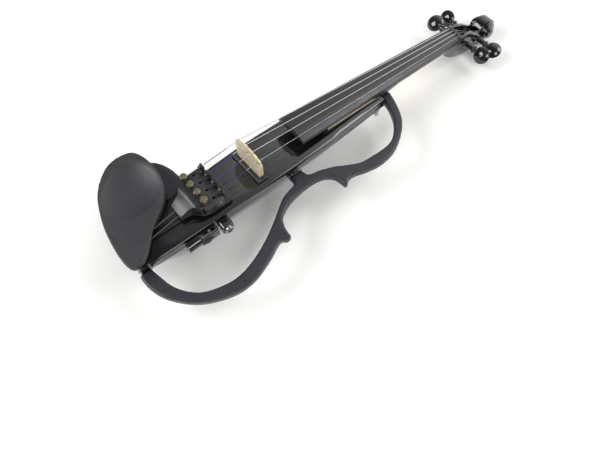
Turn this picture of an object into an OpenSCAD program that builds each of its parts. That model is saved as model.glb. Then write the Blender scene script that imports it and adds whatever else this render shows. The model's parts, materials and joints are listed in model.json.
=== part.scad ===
// Half-framed electric violin, lying on its back.
// +X runs from the tail to the scroll, +Y is the bass side, +Z is up.
// The origin is on the resting face, under the bridge, on the centre plane.

/* [Body] */
// Bridge to the tail end of the hollow body
tail_length = 150; // [135:1:185]
// Bridge to the front end of the body
front_length = 184; // [170:1:222]
// Width of the body at its widest
body_width = 60; // [50:1:72]
// How much narrower each side is at the ends of the body
end_narrowing = 6; // [2:0.5:10]
// Place of the widest section, in front of the bridge
widest_x = 30; // [0:1:60]
// Height of the deck's edge beside the bridge, over the resting face
deck_height = 66; // [60:0.5:80]
// How far the deck falls towards the tail
deck_tail_fall = 5; // [0:0.5:10]
// How far the deck falls towards the neck
deck_front_fall = 11; // [4:0.5:16]
// Rise of the deck's crown over its edge
deck_crown = 2; // [0.5:0.1:4]
// Height of the top shell's rim, from the deck's edge to the seam
rim_height = 10; // [6:0.5:14]
// Wall thickness of the two shells
wall = 3.5; // [2.5:0.1:5]
// Half width of the flat that the violin rests on
rest_half = 8; // [5:0.5:12]
// Front end of the hollow, where the solid neck block starts
hollow_end = 92; // [70:1:110]
// Place where the deck steps in beside the neck root
shoulder_x = 98; // [94:1:112]
// How much each side of the deck steps in there
shoulder_step = 1.5; // [0:0.5:3]

/* [Tail block] */
// Length of the block that closes the tail end
tail_block_length = 14; // [10:0.5:20]
// Half width of the tail block
tail_block_half = 22; // [18:0.5:26]
// Height of the tail block
tail_block_height = 25; // [20:0.5:30]

/* [Neck and fingerboard] */
// Speaking length of the strings, bridge to nut
string_length = 328; // [300:1:395]
// Height of the fingerboard's crown at the nut
nut_end_height = 50; // [44:0.5:58]
// Slope of the fingerboard's line
board_pitch = 8; // [6:0.1:10]
// Length of the fingerboard
board_length = 270; // [240:1:290]
// Half width of the fingerboard at its free end
board_half_end = 21; // [18:0.5:25]
// Half width of the fingerboard at the nut
board_half_nut = 12; // [10:0.5:14]
// Radius of the fingerboard's arch
board_radius = 42; // [36:1:60]
// Thickness of the fingerboard along its crown
board_thickness = 10; // [8:0.5:13]
// Thickness of neck and fingerboard together near the nut
neck_depth = 19; // [16:0.5:24]
// Half width of the neck root that stands on the deck
root_half = 16; // [12:0.5:18]
// Half width of the heel in front of the body
heel_half = 14; // [12:0.5:16]
// Length of the heel in front of the body
heel_length = 20; // [16:0.5:30]

/* [Head] */
// Nut to the centre of the scroll
scroll_reach = 65; // [60:1:75]
// Radius of the scroll's outer turn
scroll_radius = 16; // [13:0.5:18]
// Half width of the scroll's outer turn
scroll_half = 6.5; // [5:0.5:9]
// Half width across the scroll's eyes
eye_half = 15.5; // [14:0.5:21]
// Half width of the pegbox
pegbox_half = 12; // [10.5:0.5:14]
// Thickness of the pegbox's cheeks
cheek = 5.5; // [4:0.5:7]

/* [Pegs] */
// Nut to the first pair of pegs
peg_first = 14; // [13:0.5:18]
// First pair of pegs to the second pair
peg_pair_gap = 25; // [22:0.5:28]
// How far the treble peg of a pair stands behind the bass peg
peg_stagger = 7; // [7:0.2:9]
// Thick end radius of the peg's shaft
peg_radius = 3.5; // [3.2:0.05:3.55]
// Taper of the shaft's diameter, one part in this many
peg_taper = 30; // [20:1:40]
// Centre plane to the middle of a bass peg's head
bass_head_reach = 40; // [36:0.5:46]
// Centre plane to the middle of a treble peg's head
treble_head_reach = 37; // [34:0.5:44]
// Radius of the peg's round head
peg_head_radius = 11; // [9:0.5:13]
// Thickness of the peg's head in the middle
peg_head_thickness = 9; // [6:0.5:12]
// Running clearance round a peg's shaft
peg_clearance = 0.05; // [0.03:0.01:0.1]

/* [Bridge and strings] */
// Crown of the fingerboard's line to the top of the bridge
bridge_over_line = 6.2; // [4:0.1:9]
// Half width of the bridge
bridge_half = 22; // [19:0.5:24]
// Thickness of the bridge at its foot
bridge_foot = 4.6; // [3.5:0.1:6]
// Thickness of the bridge at its top
bridge_top = 1.6; // [1.2:0.1:2.5]
// Distance between strings at the bridge
string_gap_bridge = 11.4; // [10:0.1:12.5]
// Distance between strings at the nut
string_gap_nut = 5.5; // [4.8:0.1:6.5]
// Height of the pickup base under the bridge
pickup_height = 3.2; // [2.5:0.1:5]
// Length of the pickup base along the body
pickup_length = 13; // [9:0.5:16]

/* [Tailpiece] */
// Bridge to the front edge of the tailpiece's shelf
tailpiece_gap = 40; // [36:1:46]
// Length of the tailpiece
tailpiece_length = 58; // [50:1:70]
// Half width of the tailpiece at its narrow end
tailpiece_tail_half = 9; // [7:0.5:12]
// Half width of the tailpiece at its front
tailpiece_half = 23.5; // [21.5:0.5:26]
// Height of the underside of the tailpiece
tailpiece_bottom = 72; // [70.5:0.5:76]
// Height of the tailpiece's crown by the tuner screws
tailpiece_top = 92; // [88:0.5:95]
// Distance between strings at the tailpiece
string_gap_tail = 11.8; // [11:0.1:12.5]
// Height of the strings where they leave the tuners
tuner_string_height = 96; // [94:0.5:99]
// Tuner screw to the lever's pivot
tuner_arm = 16; // [12:0.5:18]
// Radius of the knurled head of a tuner screw
tuner_head_radius = 4; // [3:0.1:4.8]
// Running clearance of the tuner screws and the lever pivots
tuner_clearance = 0.05; // [0.03:0.01:0.1]

/* [Side frame] */
// Height of the side frame's top face
frame_top = 50; // [46:0.5:54]
// Thickness of the side frame
frame_thickness = 10; // [8:0.5:14]
// Width of the frame's rail
rail_width = 13.5; // [10:0.5:18]
// Reach of the lower bout from the centre plane
lower_bout = 102.5; // [98:0.5:112]
// Reach of the waist from the centre plane
waist = 51.5; // [50:0.5:60]
// Reach of the upper bout from the centre plane
upper_bout = 82.5; // [80:0.5:92]
// Reach of the lower corner's tip
lower_corner = 88; // [86:0.5:96]
// Reach of the upper corner's tip
upper_corner = 78; // [76:0.5:86]

/* [Chin rest] */
// Reach of the chin rest from the centre plane
chin_reach = 96; // [88:0.5:104]
// Height of the chin rest's underside
chin_bottom = 66; // [65:0.5:70]
// Thickness of the chin rest's rim
chin_rim = 12; // [8:0.5:14]
// Depth of the dish in the chin rest
chin_dish = 6; // [3:0.5:7]

/* [Controls] */
// Bridge to the middle of the control panel, towards the tail
panel_x = 91; // [85:1:105]
// Length of the control panel's housing
panel_length = 38; // [32:1:42]
// How far the housing stands out from the centre plane
panel_reach = 37; // [36:0.5:44]
// Height of the housing
panel_height = 12; // [10:0.5:14]
// Radius of the volume wheel
wheel_radius = 8; // [6:0.5:9]
// Thickness of the volume wheel
wheel_thickness = 4; // [3:0.2:5]
// Bridge to the output socket, towards the tail
jack_x = 62; // [58:1:66]
// Bore radius of the output socket
jack_bore = 3.2; // [3.15:0.05:3.3]
// Radius of the output socket's ring nut
jack_ring_radius = 5.5; // [5:0.1:6.5]

/* [Battery] */
// Radius of a battery cell
cell_radius = 7.1; // [5:0.1:7.3]
// Length of a battery cell
cell_length = 50; // [44:0.5:52]
// Clearance round the battery door
door_gap = 0.3; // [0.2:0.05:0.6]

/* [Hidden] */

$fn = 48;
joint_gap = 0.05;
fit_gap = 0.3;
flank_curve = 1.35;
tail_x = -tail_length;
tail_end_x = tail_x - tail_block_length;
nut_x = string_length;
board_slope = tan(board_pitch);
frame_bottom = frame_top - frame_thickness;

function mix(a, b, t) = a + (b - a) * t;
function ramp(x, a, b) = min(max((x - a) / (b - a), 0), 1);
function ease(t) = t * t * (3 - 2 * t);

// Smooth curves through a few hand-set points.
function curve_at(a, b, c, d, t) =
    0.5 * (2 * b + (c - a) * t + (2 * a - 5 * b + 4 * c - d) * t * t
           + (3 * b - a - 3 * c + d) * t * t * t);
function smooth_path(p, steps) =
    [for (i = [0:len(p) - 2], k = [0:steps - 1])
         curve_at(p[max(i - 1, 0)], p[i], p[i + 1], p[min(i + 2, len(p) - 1)], k / steps),
     p[len(p) - 1]];
function smooth_loop(p, steps) =
    let (n = len(p))
    [for (i = [0:n - 1], k = [0:steps - 1])
         curve_at(p[(i + n - 1) % n], p[i], p[(i + 1) % n], p[(i + 2) % n], k / steps)];

// A skin through rings of points that lie one behind the other along +X.
module loft(rings) {
    n = len(rings[0]);
    m = len(rings);
    quads = [for (i = [0:m - 2], j = [0:n - 1])
                 [i * n + j, i * n + (j + 1) % n, (i + 1) * n + (j + 1) % n, (i + 1) * n + j]];
    halves = [for (q = quads) each [[q[0], q[2], q[1]], [q[0], q[3], q[2]]]];
    back = [for (j = [0:n - 1]) j];
    front = [for (j = [n - 1:-1:0]) (m - 1) * n + j];
    polyhedron([for (r = rings) each r], concat([back, front], halves));
}

// A tube along a path, one ring of points at each point of the path.
function unit(v) = v / norm(v);
function heading(path, i) = unit(path[min(i + 1, len(path) - 1)] - path[max(i - 1, 0)]);
function square_to(u, h) = unit(u - (u * h) * h);
function sideways(path, first) =
    [for (i = 0, u = square_to(first, heading(path, 0)); i < len(path);
          i = i + 1, u = square_to(u, heading(path, min(i, len(path) - 1)))) u];
module tube(path, radii, first, sides) {
    side = sideways(path, first);
    loft([for (i = [0:len(path) - 1])
              let (h = heading(path, i), up = cross(h, side[i]))
              [for (j = [0:sides - 1])
                   path[i] + radii[i] * (cos(j * 360 / sides) * side[i]
                                         + sin(j * 360 / sides) * up)]]);
}

module rod(a, b, r) {
    d = b - a;
    len_d = norm(d);
    translate(a)
        rotate([0, acos(d[2] / len_d), atan2(d[1], d[0])])
            cylinder(h = len_d, r = r);
}

module along_y(h, r) rotate([-90, 0, 0]) cylinder(h = h, r = r);

// A box given by its low and high corners.
module block(lo, hi) translate(lo) cube(hi - lo);

// ---- Lines of the body ----
function body_half(x) =
    let (t = x < widest_x ? (widest_x - x) / (widest_x - tail_x)
                          : (x - widest_x) / (front_length - widest_x))
    body_width / 2 - end_narrowing * t * t;
function deck_z(x) =
    x < 0 ? deck_height - deck_tail_fall * pow(x / tail_x, 2)
          : deck_height - deck_front_fall * pow(x / front_length, 1.2);
function seam_z(x) = deck_z(x) - rim_height;

rest_back = -90;
rest_front = 10;
keel_end_rise = 33;
function keel_z(x) =
    x < rest_back ? (keel_end_rise - 3) * pow((rest_back - x) / (rest_back - tail_x), 2)
    : x > rest_front ? keel_end_rise * pow((x - rest_front) / (front_length - rest_front), 1.6)
    : 0;
function flank_y(x, z) =
    let (f = (seam_z(x) - z) / (seam_z(x) - keel_z(x)))
    body_half(x) - (body_half(x) - rest_half) * pow(max(f, 0), flank_curve);

flank_steps = [0, 0.08, 0.18, 0.3, 0.44, 0.58, 0.72, 0.85, 0.94, 1];
function hull_ring(x, inset, top) =
    let (keel = keel_z(x) + inset,
         side = [for (f = flank_steps)
                     [flank_y(x, mix(seam_z(x), keel_z(x), f)) - inset, mix(top, keel, f)]])
    concat([for (p = side) [x, -p[0], p[1]]],
           [for (i = [len(side) - 1:-1:0]) [x, side[i][0], side[i][1]]]);

body_x = [tail_x, -140, -130, -120, -108, -98, rest_back, -60, -25, 0, rest_front,
          30, 50, 70, 90, shoulder_x, shoulder_x + 3, shoulder_x + 6, shoulder_x + 9,
          shoulder_x + 12, 130, 150, 168, front_length];
function in_span(list, a, b) = concat([a], [for (x = list) if (x > a + 1 && x < b - 1) x], [b]);

module hull_solid() {
    loft([for (x = in_span(body_x, tail_x, front_length)) hull_ring(x, 0, seam_z(x))]);
}
module hull_hollow() {
    loft([for (x = in_span(body_x, tail_x + wall * 2, hollow_end))
              hull_ring(x, wall, seam_z(x) + 1)]);
}

// ---- Side opening of the body for the controls ----
panel_mid = -panel_x;
panel_low = panel_mid - panel_length / 2;
panel_high = panel_mid + panel_length / 2;
panel_top = deck_z(panel_mid) - 3.5;
panel_bottom = panel_top - panel_height;
jack_half = 7;
jack_z = panel_top - 6.5;
module side_openings(gap) {
    block([panel_low + 3 - gap, -50, panel_bottom + 1.5 - gap],
          [panel_high - 3 + gap, -18, panel_top - 1.5 + gap]);
    block([-jack_x - jack_half + 1.5 - gap, -50, jack_z - jack_half + 1.5 - gap],
          [-jack_x + jack_half - 1.5 + gap, -18, jack_z + jack_half - 1.5 + gap]);
}

// ---- Battery door on the bass flank ----
door_back = -42;
door_front = 18;
door_low = 14;
door_high = 36;
hinge_y = flank_y(0, door_low) + 1.3;
hinge_z = door_low - 0.3;
knuckle_radius = 1.9;
door_pin_radius = 0.9;
knuckles = [[-40, -30], [-29.5, -17.5], [-17, -5], [-4.5, 7.5], [8, 16]];
module door_window(gap) {
    block([door_back - gap, 2, door_low - gap], [door_front + gap, 60, door_high + gap]);
}
module knuckle_set(first, extra) {
    for (i = [first:2:4])
        translate([knuckles[i][0] - extra, hinge_y, hinge_z])
            rotate([0, 90, 0])
                cylinder(h = knuckles[i][1] - knuckles[i][0] + 2 * extra, r = knuckle_radius + extra);
}

// ---- Places where the side frame meets the body ----
strut_back = 31;
strut_front = 47;
strut_pad_y = body_width / 2 + 1.2;
tab_thickness = 4;
tab_reach = 6;
front_pad_back = front_length + 3;
front_pad_front = front_length + 15;
frame_screw_radius = 1.5;
frame_screw_places = [[tail_x - tail_block_length / 2, -tail_block_half + 5],
                      [(strut_back + strut_front) / 2, -strut_pad_y + 3],
                      [(front_pad_back + front_pad_front) / 2, -heel_half + 5]];
screw_depth = 9;

nut_place = [front_length - 10, -body_half(front_length - 10) + 2.8];
nut_seat = seam_z(front_length - 10) - 4.7;
nut_height = 6;

bolt_x = [128, 160];
bolt_radius = 2;
bolt_head_radius = 3.6;
bolt_head = 2.6;
function bolt_seat(x) = keel_z(x) + 5;

module bolt_holes(r) {
    for (x = bolt_x)
        translate([x, 0, bolt_seat(x) - 0.01]) cylinder(h = 60, r = r);
}

// ---- Wing on the bass side ----
wing_top = frame_top + 6;
wing_thickness = 12;
wing_bottom = wing_top - wing_thickness;
wing_skin = 4;
wing_wall = 37;
wing_screw_places = [[-128, 36], [-86, 36]];

module lower_shell() color("#101012") {
    difference() {
        union() {
            difference() {
                hull_solid();
                hull_hollow();
                door_window(door_gap);
                // Room for the door's own knuckles.
                knuckle_set(1, door_gap);
            }
            knuckle_set(0, 0);
            // Pad that the frame's strut is screwed under.
            block([strut_back, -strut_pad_y, frame_bottom + tab_thickness + joint_gap],
                  [strut_front, -18, frame_top - 1]);
            // Pads for the wing's screws.
            for (p = wing_screw_places)
                block([p[0] - 6, 14, wing_bottom], [p[0] + 6, body_half(p[0]) - 0.3, wing_bottom + 7.5]);
        }
        side_openings(fit_gap);
        // Lap for the strut's tab.
        block([strut_back - fit_gap, -60, frame_bottom - 5],
              [strut_front + fit_gap, -strut_pad_y + tab_reach + fit_gap,
               frame_bottom + tab_thickness + joint_gap]);
        bolt_holes(bolt_radius + joint_gap);
        for (x = bolt_x)
            translate([x, 0, -1]) cylinder(h = bolt_seat(x) + 1, r = bolt_head_radius + 0.2);
        translate([frame_screw_places[1][0], frame_screw_places[1][1], frame_bottom])
            cylinder(h = screw_depth + tab_thickness, r = frame_screw_radius);
        translate([door_back, hinge_y, hinge_z])
            rotate([0, 90, 0]) cylinder(h = 58, r = door_pin_radius);
        for (p = wing_screw_places)
            translate([p[0], body_half(p[0]) - 13, wing_bottom + 4.5]) along_y(20, 1.4);
        // Spot-faced seat and stud hole of the nut under the front.
        translate([nut_place[0], nut_place[1], nut_seat - 30]) {
            cylinder(h = 30, r = 3.9);
            cylinder(h = 33.7, r = 1.51);
        }
    }
}

// ---- Top shell ----
function deck_half(x) =
    body_half(x) - shoulder_step * ease(ramp(x, shoulder_x, shoulder_x + 12));
deck_corner = 1.8;
function deck_ring(x, inset, low) =
    let (h = deck_half(x) - inset, z = deck_z(x) - inset, c = deck_corner,
         side = [[h, low], [h, z - c], [h - c * 0.3, z - c * 0.3], [h - c, z],
                 [h * 0.66, z + deck_crown * 0.62], [h * 0.33, z + deck_crown * 0.91]])
    concat([for (p = side) [x, -p[0], p[1]]],
           [[x, 0, z + deck_crown]],
           [for (i = [len(side) - 1:-1:0]) [x, side[i][0], side[i][1]]]);
function ring_turned(r) = [for (i = [len(r) - 1:-1:0]) r[i]];
root_pocket = 5;
root_back = shoulder_x + 2;
root_floor_back = deck_z(root_back) - root_pocket;
root_floor_front = deck_z(front_length) - root_pocket;
function root_floor(x) =
    mix(root_floor_back, root_floor_front, (x - root_back) / (front_length - root_back));

// Wedge over the sloping floor of the pocket that the neck root stands in.
module root_pocket_shape(gap, top) {
    rotate([90, 0, 0])
        linear_extrude(height = 2 * (root_half + gap), center = true)
            polygon([[root_back - gap, root_floor(root_back - gap)],
                     [front_length + 1, root_floor(front_length + 1)],
                     [front_length + 1, top], [root_back - gap, top]]);
}

module top_shell() color("#0c0c0e") {
    difference() {
        loft([for (x = body_x) ring_turned(deck_ring(x, 0, seam_z(x) + joint_gap))]);
        loft([for (x = in_span(body_x, tail_x + wall * 2, hollow_end))
                  ring_turned(deck_ring(x, wall, seam_z(x) - 1))]);
        root_pocket_shape(joint_gap, 90);
        bolt_holes(bolt_radius + joint_gap);
        side_openings(fit_gap);
        pickup_seat(joint_gap);
    }
}

// ---- Tail block ----
tail_block_top = deck_z(tail_x) - 0.5;
tail_block_bottom = tail_block_top - tail_block_height;
end_pin_z = tail_block_top - 13;
end_pin_radius = 3.9;
pin_pocket = 6.5;
pin_pocket_half = 9.5;
module tail_block() color("#101012") {
    r = 5;
    difference() {
        translate([0, 0, tail_block_bottom])
            linear_extrude(height = tail_block_height)
                union() {
                    translate([tail_end_x + r, -tail_block_half])
                        square([tail_block_length - r - joint_gap, 2 * tail_block_half]);
                    translate([tail_end_x, -tail_block_half + r])
                        square([r + 1, 2 * (tail_block_half - r)]);
                    for (s = [-1, 1])
                        translate([tail_end_x + r, s * (tail_block_half - r)]) circle(r = r);
                }
        // Groove round the block's upper part.
        for (s = [-1, 1])
            translate([tail_x - 7, s * 11, tail_block_top]) rotate([0, 90, 0])
                cylinder(h = 20, r = 0.9, center = true);
        translate([tail_end_x + pin_pocket - 1, 0, end_pin_z]) rotate([0, 90, 0])
            cylinder(h = tail_block_length, r = end_pin_radius);
        // Pocket that the end pin's head and the gut's loop lie in.
        block([tail_end_x - 1, -pin_pocket_half, end_pin_z - 9],
              [tail_end_x + pin_pocket, pin_pocket_half, tail_block_top + 1]);
        // Seat of the saddle.
        block([tail_end_x + pin_pocket - 1, -saddle_half - joint_gap, tail_block_top - 3],
              [saddle_front, saddle_half + joint_gap, tail_block_top + 1]);
        // Lap for the frame's tab.
        block([tail_end_x - 1, -tail_block_half - 1, tail_block_bottom - 1],
              [tail_x + 1, -tail_block_half + 9, frame_bottom + tab_thickness + joint_gap]);
        translate([frame_screw_places[0][0], frame_screw_places[0][1], frame_bottom])
            cylinder(h = screw_depth + tab_thickness, r = frame_screw_radius);
    }
}

saddle_half = 9;
saddle_top = tail_block_top + 2.5;
saddle_front = tail_end_x + pin_pocket + 5;
gut_gap = 3.6;
gut_radius = 1;
module saddle() color("#18181a") {
    difference() {
        block([tail_end_x + pin_pocket - 0.5, -saddle_half, tail_block_top - 3 + joint_gap],
              [saddle_front - joint_gap, saddle_half, saddle_top]);
        for (s = [-1, 1])
            translate([tail_end_x, s * gut_gap, saddle_top + 0.4]) rotate([0, 90, 0])
                cylinder(h = 16, r = gut_radius + 0.1);
    }
}

module end_pin() color("#18181a") {
    translate([tail_end_x + pin_pocket, 0, end_pin_z]) rotate([0, -90, 0]) {
        translate([0, 0, pin_pocket - tail_block_length + 1])
            cylinder(h = tail_block_length - pin_pocket, r = end_pin_radius - 0.02);
        translate([0, 0, 1 - 0.9]) cylinder(h = 3.4, r = 4.4);
        translate([0, 0, 3.5]) cylinder(h = 2, r1 = 4.4, r2 = 7);
        translate([0, 0, 5.5]) cylinder(h = 0.8, r = 7);
    }
}

// The gut loops from the tailpiece over the saddle and round the end pin.
gut_pin_x = tail_end_x + pin_pocket - 2.2;
gut_low = [gut_pin_x, 0, end_pin_z - 6.2];
gut_hole_x = -tailpiece_gap - tailpiece_length + 6;
gut_z = tailpiece_bottom + 3;
function gut_line(x) =
    mix(saddle_top + 0.4, gut_z, (x - saddle_front + 3.5) / (gut_hole_x - saddle_front + 3.5));
gut_knot = 1.7;
function gut_side(s) =
    concat([for (x = [1.1, 0.6, -0.6, -1.1])
                [gut_hole_x + x, s * gut_gap, gut_line(gut_hole_x + x)]],
           [[saddle_front - 3.5, s * gut_gap, saddle_top + 0.4],
            [gut_pin_x + 1.2, s * gut_gap, saddle_top + 0.4],
            [gut_pin_x + 0.2, s * gut_gap, saddle_top - 0.5],
            [gut_pin_x, s * gut_gap, saddle_top - 2],
            [gut_pin_x, s * 5.9, end_pin_z],
            [gut_pin_x, s * 4.6, end_pin_z - 4]]);
gut_radii = [1.2, gut_knot, gut_knot, gut_radius, gut_radius, gut_radius, gut_radius,
             gut_radius, gut_radius, gut_radius];
module tail_gut() color("#202022") {
    left = gut_side(-1);
    last = len(left) - 1;
    tube(concat(gut_side(1), [gut_low], [for (i = [last:-1:0]) left[i]]),
         concat(gut_radii, [gut_radius], [for (i = [last:-1:0]) gut_radii[i]]), [0, 1, 0], 10);
}

// ---- Fingerboard and nut ----
board_x = nut_x - board_length;
function board_z(x) = nut_end_height + (nut_x - x) * board_slope;
function board_half(x) = mix(board_half_nut, board_half_end, (nut_x - x) / board_length);
function board_under(x) = board_z(x) - board_thickness;
module board_wedge(x0, x1) {
    linear_extrude(height = 200)
        polygon([[x0, -board_half(x0)], [x1, -board_half(x1)],
                 [x1, board_half(x1)], [x0, board_half(x0)]]);
}
module board_arch(x0, x1, drop) {
    translate([nut_x, 0, nut_end_height - drop]) rotate([0, board_pitch, 0])
        translate([0, 0, -board_radius]) rotate([0, -90, 0])
            translate([0, 0, -40]) cylinder(h = string_length + 40, r = board_radius, $fn = 96);
}
module fingerboard() color("#26262a") {
    difference() {
        intersection() {
            board_wedge(board_x, nut_x - joint_gap);
            board_arch(board_x, nut_x, 0);
            rotate([90, 0, 0])
                linear_extrude(height = 80, center = true)
                    polygon([[board_x, board_under(board_x)], [nut_x, board_under(nut_x)],
                             [nut_x, 200], [board_x, 200]]);
        }
        // The free end is hollowed from below.
        translate([board_x - 1, 0, board_under(board_x) - 9]) rotate([0, 90 + board_pitch, 0])
            cylinder(h = 46, r = 13);
    }
}

nut_thickness = 5;
nut_over = 1.2;
function string_y_bridge(k) = (1.5 - k) * string_gap_bridge;
function string_y_nut(k) = (1.5 - k) * string_gap_nut;
function string_y_tail(k) = (1.5 - k) * string_gap_tail;
string_radius = [0.42, 0.4, 0.36, 0.18];
function arch_drop(y, r) = r - sqrt(r * r - y * y);
bridge_crown = board_z(0) + bridge_over_line;
function string_z_bridge(k) = bridge_crown - arch_drop(string_y_bridge(k), board_radius) - k * 0.5;
function string_z_nut(k) =
    nut_end_height + nut_over - arch_drop(string_y_nut(k), board_radius) - 0.3;

module nut() color("#141416") {
    difference() {
        intersection() {
            block([nut_x, -board_half_nut, board_under(nut_x)],
                  [nut_x + nut_thickness, board_half_nut, nut_end_height + 3]);
            translate([nut_x - 1, 0, nut_end_height + nut_over - board_radius])
                rotate([0, 90, 0]) cylinder(h = nut_thickness + 2, r = board_radius, $fn = 96);
        }
        for (k = [0:3])
            let (p = string_points(k)) string_groove(k, p[2], p[3]);
    }
}

// ---- Neck with heel, pegbox and scroll ----
heel_front = front_length + heel_length;
pegbox_x = nut_x - 8;
function neck_back(x) = board_z(x) - neck_depth - 3 * ramp(x, pegbox_x, front_length);
function neck_half(x) = board_half(x) - 0.3;
neck_steps = [0, 15, 30, 45, 60, 75, 90];
function neck_ring(x, low, half) =
    let (top = board_under(x) - joint_gap, depth = top - low,
         side = [for (a = neck_steps) [half * pow(cos(a), 0.8), top - depth * pow(sin(a), 1.1)]])
    concat([for (p = side) [x, -p[0], p[1]]],
           [for (i = [len(side) - 2:-1:0]) [x, side[i][0], side[i][1]]]);

heel_low = keel_z(front_length) + 1;
scroll_x = nut_x + scroll_reach;
scroll_z = scroll_radius;
peg_x = [nut_x + peg_first, nut_x + peg_first + peg_pair_gap,
         nut_x + peg_first + peg_pair_gap + peg_stagger, nut_x + peg_first + peg_stagger];
peg_fall = 0.32;
function peg_z(x) = scroll_z + 11 - (x - nut_x - peg_first) * peg_fall;

function head_top() =
    smooth_path([[nut_x + nut_thickness, nut_end_height - 3], [nut_x + 17, nut_end_height - 5],
                 [nut_x + 30, nut_end_height - 11], [nut_x + 42, nut_end_height - 20],
                 [scroll_x - 13, scroll_z + 7.5]], 5);
function head_back() =
    smooth_path([[scroll_x - 3, 0.3], [scroll_x - 16, 1.2], [nut_x + 33, 5.5], [nut_x + 16, 10.5],
                 [nut_x + 2, 16], [nut_x - 12, 24], [nut_x - 24, neck_back(nut_x - 24)]], 5);

module head_profile() {
    polygon(concat([[nut_x - 24, board_under(nut_x - 24) - joint_gap],
                    [nut_x - joint_gap, board_under(nut_x) - joint_gap],
                    [nut_x + nut_thickness + joint_gap, board_under(nut_x) - joint_gap],
                    [nut_x + nut_thickness + joint_gap, nut_end_height - 3]],
                   head_top(), [[scroll_x, scroll_z]], head_back()));
}
module upright(half) {
    rotate([90, 0, 0]) linear_extrude(height = 2 * half, center = true) children();
}

module scroll() {
    // The outer turn, and the turns that step inwards towards the eyes.
    turns = [[0, 0, scroll_radius, scroll_half], [0.8, 0.6, scroll_radius * 0.78, scroll_half + 3],
             [-0.6, 1, scroll_radius * 0.58, scroll_half + 6.2],
             [0, 0, scroll_radius * 0.36, eye_half]];
    for (t = turns)
        translate([scroll_x + t[0], -t[3], scroll_z + t[1]]) along_y(2 * t[3], t[2]);
}

module neck() color("#c9a56b") {
    difference() {
        union() {
            // Root on the deck.
            rotate([90, 0, 0])
                linear_extrude(height = 2 * root_half, center = true)
                    polygon([[root_back, root_floor_back + joint_gap],
                             [front_length, root_floor_front + joint_gap],
                             [front_length, board_under(front_length) - joint_gap],
                             [root_back, board_under(root_back) - joint_gap]]);
            // Heel in front of the body.
            block([front_length + joint_gap, -heel_half, heel_low + 2],
                  [heel_front - 4, heel_half, board_under(heel_front) - 1]);
            block([front_length - 1, -heel_half, root_floor_back],
                  [front_length + 1, heel_half, board_under(heel_front) - 1]);
            // Handle, which sweeps down into the heel.
            loft([for (x = in_span([front_length + 4, front_length + 10, front_length + 16,
                                    front_length + 22, front_length + 30, front_length + 40,
                                    front_length + 70, front_length + 100],
                                   front_length + joint_gap, nut_x - 10))
                      neck_ring(x,
                          mix(heel_low, neck_back(x),
                              ease(ramp(x, front_length, front_length + 44))),
                          neck_half(x))]);
            intersection() {
                upright(pegbox_half) head_profile();
                // The head narrows towards the scroll.
                translate([0, 0, -1]) linear_extrude(height = 80)
                    polygon([[nut_x - 30, -pegbox_half], [nut_x + 10, -pegbox_half],
                             [scroll_x - 8, -scroll_half - 1.5], [scroll_x + 30, -scroll_half - 1.5],
                             [scroll_x + 30, scroll_half + 1.5], [scroll_x - 8, scroll_half + 1.5],
                             [nut_x + 10, pegbox_half], [nut_x - 30, pegbox_half]]);
            }
            scroll();
        }
        // Hollow of the pegbox, between the cheeks.
        pegbox_hollow();
        for (k = [0:3])
            peg_place(k) peg_shaft(peg_clearance);
        bolt_holes_neck();
        translate([frame_screw_places[2][0], frame_screw_places[2][1], frame_bottom])
            cylinder(h = screw_depth + tab_thickness, r = frame_screw_radius);
        // Flat that the frame's front end meets, and the lap for its tab.
        block([front_length - 0.5, -40, frame_bottom - 8],
              [front_pad_front + 2, -heel_half, frame_top + 2 * joint_gap]);
        block([front_length - 0.5, -heel_half - 5, 20],
              [front_pad_front + 0.3, -heel_half + 9, frame_bottom + tab_thickness + joint_gap]);
    }
}

module bolt_holes_neck() {
    for (x = bolt_x)
        translate([x, 0, root_floor_front - 4]) cylinder(h = bolt_top(x) - root_floor_front + 4.5,
                                                         r = bolt_radius);
}
function bolt_top(x) = board_under(x) - 5;

hollow_half = pegbox_half - cheek;
hollow_back = nut_x + nut_thickness + 0.6;
module pegbox_hollow() {
    intersection() {
        upright(pegbox_half)
            polygon([[hollow_back, 60], [hollow_back, 26],
                     [nut_x + 16, 18.5], [nut_x + 34, 12.5], [nut_x + 47, 8.5], [nut_x + 52, 14],
                     [nut_x + 52, 60]]);
        // The hollow narrows from the nut towards the scroll.
        linear_extrude(height = 80)
            polygon([[hollow_back, -hollow_half - 2.8], [nut_x + 16, -hollow_half - 0.6],
                     [nut_x + 53, -hollow_half + 2], [nut_x + 53, hollow_half - 2],
                     [nut_x + 16, hollow_half + 0.6], [hollow_back, hollow_half + 2.8]]);
    }
}

module neck_bolts() color("#b8b8bc") {
    for (x = bolt_x) {
        translate([x, 0, bolt_seat(x)]) cylinder(h = bolt_top(x) - bolt_seat(x), r = bolt_radius - 0.01);
        translate([x, 0, bolt_seat(x) - bolt_head])
            difference() {
                cylinder(h = bolt_head, r = bolt_head_radius);
                translate([0, 0, -1]) cylinder(h = 2.4, r = 1.5, $fn = 6);
            }
    }
}

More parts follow.
